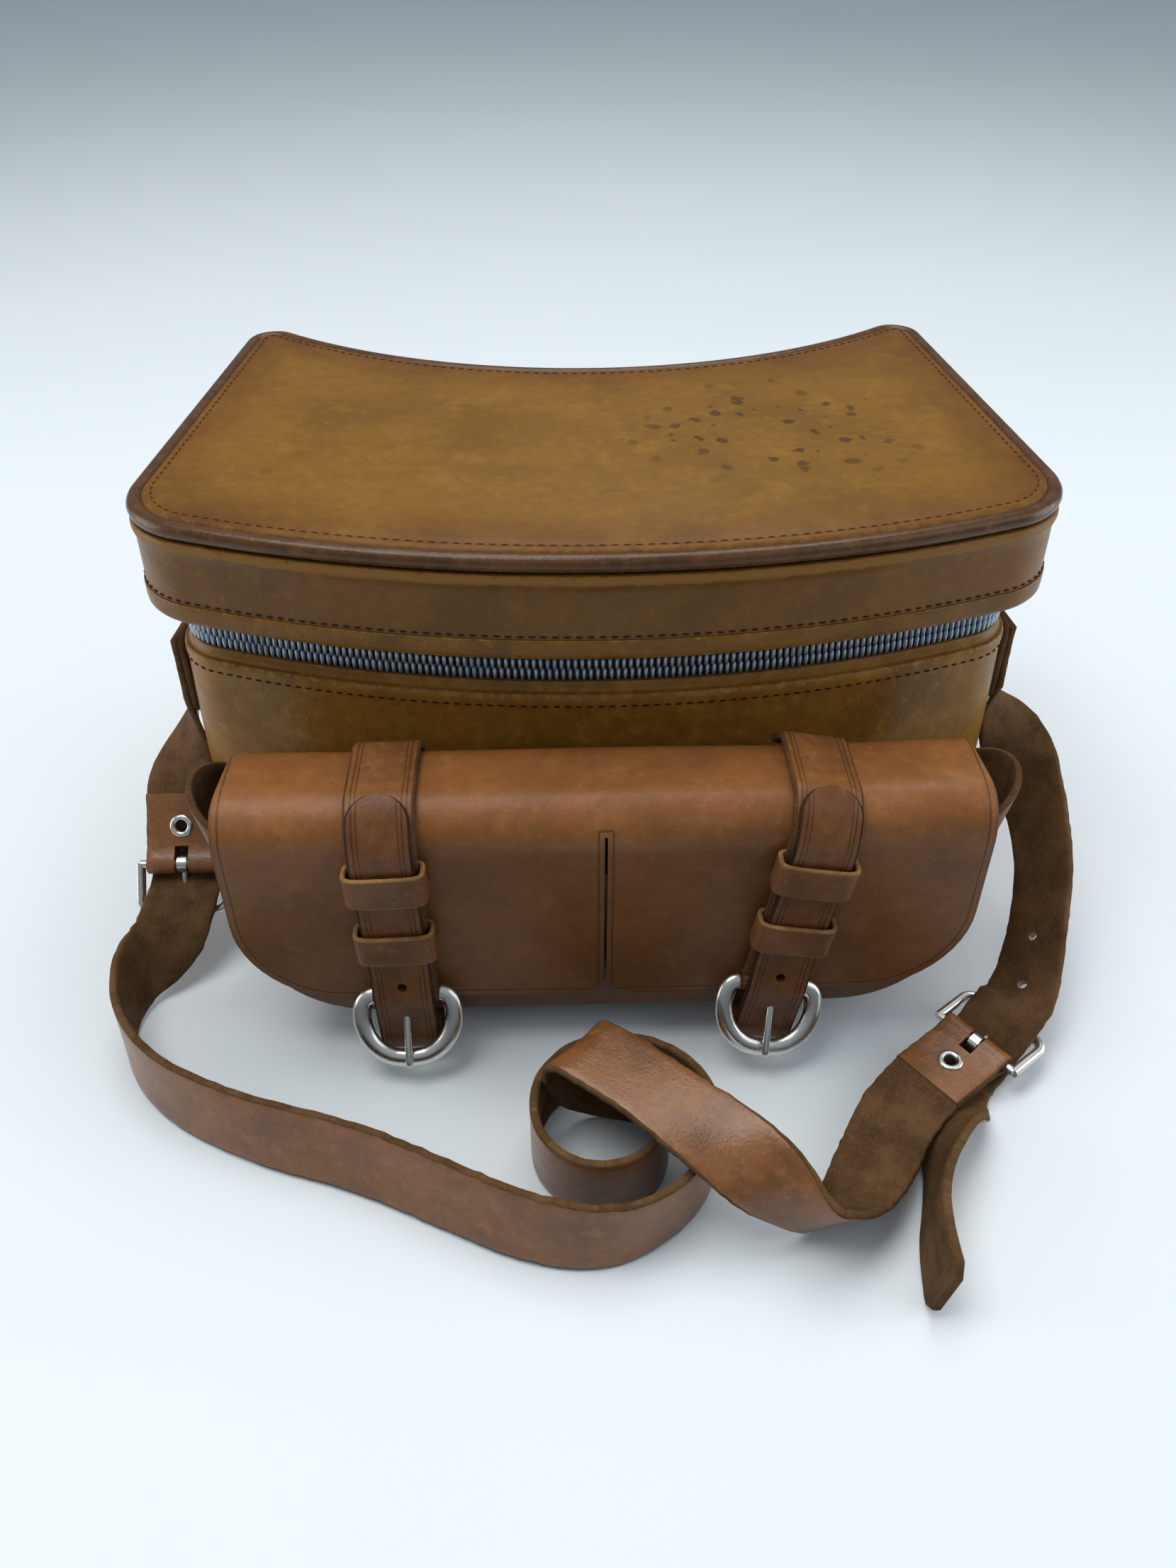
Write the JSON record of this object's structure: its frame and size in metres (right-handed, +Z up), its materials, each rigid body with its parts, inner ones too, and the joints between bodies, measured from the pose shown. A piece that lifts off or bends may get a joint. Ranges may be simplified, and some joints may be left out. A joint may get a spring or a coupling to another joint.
{
  "type": "contour camera bag",
  "caption": "Kidney-shaped leather camera bag with a zip-around hinged lid, a buckled front pouch and a loose shoulder strap.",
  "frame": {"origin": "on the table under the middle of the case's depth, on its left-right mid plane", "axes": "+X to the bag's right as seen from the front, +Y to its hollow back, +Z up"},
  "size_m": [0.348, 0.3358, 0.17],
  "materials": {
    "case_leather": "glossy, worn",
    "binding_leather": "satin",
    "base_leather": "satin",
    "pouch_leather": "satin, creased",
    "strap_leather": "satin",
    "lining": "matte",
    "stiffener": "matte board",
    "zip_tape": "matte",
    "zip_metal": "dull metal",
    "nickel": "nickel plate"
  },
  "bodies": {
    "case": {"body_wall": "case_leather", "body_base": "base_leather", "body_lining": "lining", "zip_tape_lower": "zip_tape", "zip_teeth_lower": "zip_metal", "zip_end_stops": "zip_metal", "hinge_leather": "case_leather", "pocket_back": "pouch_leather", "pocket_front": "pouch_leather", "pocket_bottom": "pouch_leather", "pocket_gusset_left": "pouch_leather", "pocket_gusset_right": "pouch_leather", "pocket_flap_root": "pouch_leather", "flap_strap_root_left": "pouch_leather", "flap_strap_root_right": "pouch_leather", "side_tab_left": "case_leather", "side_tab_right": "case_leather", "rivets_left": "nickel", "rivets_right": "nickel", "strap_left_short": "strap_leather", "strap_long": "strap_leather", "strap_billet_right": "strap_leather", "strap_chape_left": "strap_leather", "strap_chape_right": "strap_leather", "strap_eyelet_left": "nickel", "strap_eyelet_right": "nickel"},
    "lid": {"lid_top": "case_leather", "lid_board": "stiffener", "lid_lining": "lining", "lid_piping": "case_leather", "lid_band": "case_leather", "lid_binding": "binding_leather", "zip_tape_upper": "zip_tape", "zip_teeth_upper": "zip_metal"},
    "slider": {"zip_slider": "zip_metal"},
    "pull": {"zip_pull": "zip_metal"},
    "flap": {"pocket_flap": "pouch_leather", "flap_strap_left": "pouch_leather", "flap_strap_right": "pouch_leather"},
    "keeper_upper_left_body": {"keeper_upper_left": "pouch_leather"},
    "keeper_lower_left_body": {"keeper_lower_left": "pouch_leather"},
    "buckle_left": {"pocket_buckle_left": "nickel"},
    "prong_left": {"pocket_prong_left": "nickel"},
    "billet_left_body": {"billet_left": "pouch_leather"},
    "sling_buckle_left": {"strap_buckle_left": "nickel"},
    "sling_prong_left": {"strap_prong_left": "nickel"},
    "keeper_upper_right_body": {"keeper_upper_right": "pouch_leather"},
    "keeper_lower_right_body": {"keeper_lower_right": "pouch_leather"},
    "buckle_right": {"pocket_buckle_right": "nickel"},
    "prong_right": {"pocket_prong_right": "nickel"},
    "billet_right_body": {"billet_right": "pouch_leather"},
    "sling_buckle_right": {"strap_buckle_right": "nickel"},
    "sling_prong_right": {"strap_prong_right": "nickel"}
  },
  "joints": [
    {"name": "lid_hinge", "type": "hinge", "parent": "case", "child": "lid", "pos_m": [0, 0.1186, 0.135], "axis": [-1, 0, 0], "range_deg": [0, 100], "deforming": ["hinge_leather"]},
    {"name": "zip_slide", "type": "slide", "parent": "case", "child": "slider", "axis": [0.1075, -0.9942, 0], "range_m": [0, 0.06]},
    {"name": "zip_pull_swing", "type": "hinge", "parent": "slider", "child": "pull", "pos_m": [0.13328, 0.08043, 0.124], "axis": [0.1075, -0.9942, 0], "range_deg": [0, 95]},
    {"name": "flap_hinge", "type": "hinge", "parent": "case", "child": "flap", "pos_m": [0, -0.086, 0.1075], "axis": [-1, 0, 0], "range_deg": [0, 105], "deforming": ["billet_left", "billet_right"]},
    {"name": "billet_swing_left", "type": "hinge", "parent": "case", "child": "billet_left_body", "pos_m": [-0.0658, -0.103, 0.0105], "axis": [1, 0, 0], "range_deg": [0, 80], "deforming": ["billet_left"]},
    {"name": "buckle_swing_left", "type": "hinge", "parent": "flap", "child": "buckle_left", "pos_m": [-0.06649, -0.1147, 0.03003], "axis": [-0.9994, 0, -0.0349], "range_deg": [0, 40], "deforming": ["billet_left"]},
    {"name": "prong_swing_left", "type": "hinge", "parent": "buckle_left", "child": "prong_left", "pos_m": [-0.06649, -0.1147, 0.03003], "axis": [-0.9994, 0, -0.0349], "range_deg": [0, 60], "deforming": ["billet_left"]},
    {"name": "keeper_upper_slide_left", "type": "slide", "parent": "flap", "child": "keeper_upper_left_body", "axis": [0.0349, 0, -0.9994], "range_m": [0, 0.005], "deforming": ["billet_left"]},
    {"name": "keeper_lower_slide_left", "type": "slide", "parent": "flap", "child": "keeper_lower_left_body", "axis": [-0.0349, 0, 0.9994], "range_m": [0, 0.003], "deforming": ["billet_left"]},
    {"name": "billet_swing_right", "type": "hinge", "parent": "case", "child": "billet_right_body", "pos_m": [0.0525, -0.103, 0.0105], "axis": [1, 0, 0], "range_deg": [0, 80], "deforming": ["billet_right"]},
    {"name": "buckle_swing_right", "type": "hinge", "parent": "flap", "child": "buckle_right", "pos_m": [0.05601, -0.1147, 0.03079], "axis": [-0.9863, 0, 0.165], "range_deg": [0, 40], "deforming": ["billet_right"]},
    {"name": "prong_swing_right", "type": "hinge", "parent": "buckle_right", "child": "prong_right", "pos_m": [0.05601, -0.1147, 0.03079], "axis": [-0.9863, 0, 0.165], "range_deg": [0, 60], "deforming": ["billet_right"]},
    {"name": "keeper_upper_slide_right", "type": "slide", "parent": "flap", "child": "keeper_upper_right_body", "axis": [-0.165, 0, -0.9863], "range_m": [0, 0.005], "deforming": ["billet_right"]},
    {"name": "keeper_lower_slide_right", "type": "slide", "parent": "flap", "child": "keeper_lower_right_body", "axis": [0.165, 0, 0.9863], "range_m": [0, 0.003], "deforming": ["billet_right"]},
    {"name": "strap_buckle_swing_left", "type": "hinge", "parent": "case", "child": "sling_buckle_left", "pos_m": [-0.153, -0.0537, 0.034], "axis": [-1, 0, 0], "range_deg": [0, 20], "deforming": ["strap_long"]},
    {"name": "strap_prong_swing_left", "type": "hinge", "parent": "sling_buckle_left", "child": "sling_prong_left", "pos_m": [-0.153, -0.0537, 0.034], "axis": [1, 0, 0], "range_deg": [0, 25], "deforming": ["strap_long"]},
    {"name": "strap_buckle_swing_right", "type": "hinge", "parent": "case", "child": "sling_buckle_right", "pos_m": [0.126, -0.1262, 0.0102], "axis": [0.6, -0.8, 0], "range_deg": [0, 20], "deforming": ["strap_billet_right"]},
    {"name": "strap_prong_swing_right", "type": "hinge", "parent": "sling_buckle_right", "child": "sling_prong_right", "pos_m": [0.126, -0.1262, 0.0102], "axis": [-0.6, 0.8, 0], "range_deg": [0, 12], "deforming": ["strap_billet_right"]}
  ],
  "couplings": [
    {"joint": "billet_swing_left", "follows": "flap_hinge", "ratio": 0.7},
    {"joint": "billet_swing_right", "follows": "flap_hinge", "ratio": 0.7}
  ]
}
